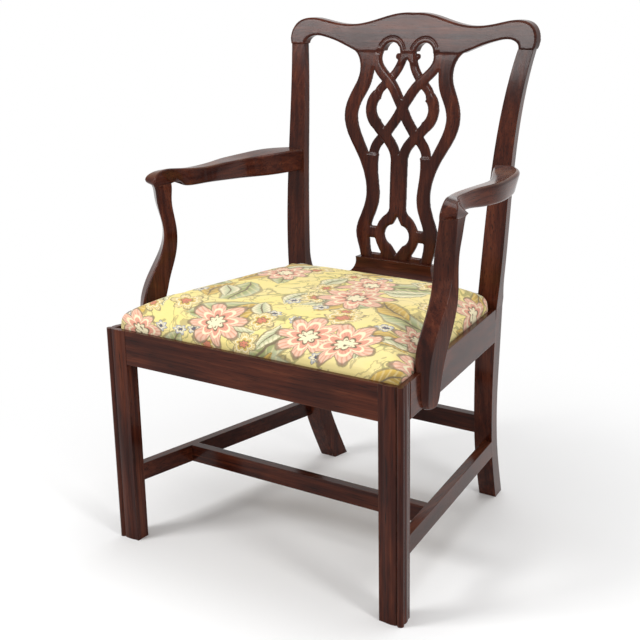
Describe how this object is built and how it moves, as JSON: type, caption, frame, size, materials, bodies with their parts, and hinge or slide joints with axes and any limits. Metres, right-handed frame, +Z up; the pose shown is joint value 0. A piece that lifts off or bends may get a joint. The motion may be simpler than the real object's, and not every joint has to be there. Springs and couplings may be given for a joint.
{
  "type": "open armchair",
  "caption": "Open armchair with a pierced interlaced back splat, serpentine crest and arms, moulded straight front legs with stretchers, and a floral needlework drop-in seat.",
  "frame": {"origin": "centre of the chair's plan box, on the floor", "axes": "+Z up, -Y the way the chair faces, +X to the right of someone who looks at its front"},
  "size_m": [0.6706, 0.5984, 0.9714],
  "materials": {
    "mahogany": "polished",
    "secondary_wood": "bare, planed",
    "screw_steel": "dull",
    "tack_steel": "blued",
    "webbing": "woven jute",
    "base_cloth": "plain weave hessian",
    "stuffing": "hair and wadding",
    "needlework": "wool needlework with a floral pattern"
  },
  "bodies": {
    "chair_frame": {"crest_rail": "mahogany", "back_splat": "mahogany", "splat_shoe": "mahogany", "rear_post_left": "mahogany", "rear_post_right": "mahogany", "front_seat_rail": "mahogany", "rear_seat_rail": "mahogany", "side_seat_rail_left": "mahogany", "side_seat_rail_right": "mahogany", "front_leg_left": "mahogany", "front_leg_right": "mahogany", "side_stretcher_left": "mahogany", "side_stretcher_right": "mahogany", "cross_stretcher": "mahogany", "rear_stretcher": "mahogany", "arm_left": "mahogany", "arm_right": "mahogany", "arm_support_left": "mahogany", "arm_support_right": "mahogany", "arm_screw_plugs": "mahogany", "corner_block_front_left": "secondary_wood", "corner_block_front_right": "secondary_wood", "corner_block_rear_left": "secondary_wood", "corner_block_rear_right": "secondary_wood", "arm_dowels": "secondary_wood", "arm_screws": "screw_steel", "support_screws": "screw_steel", "block_screws": "screw_steel"},
    "drop_in_seat": {"seat_frame_front": "secondary_wood", "seat_frame_rear": "secondary_wood", "seat_frame_left": "secondary_wood", "seat_frame_right": "secondary_wood", "webbing_lengthwise": "webbing", "webbing_crosswise": "webbing", "base_cloth": "base_cloth", "seat_stuffing": "stuffing", "seat_cover": "needlework", "seat_tacks": "tack_steel"}
  },
  "joints": [
    {"name": "seat_lift", "type": "slide", "parent": "chair_frame", "child": "drop_in_seat", "axis": [0, 0, 1], "range_m": [0, 0.12]}
  ]
}
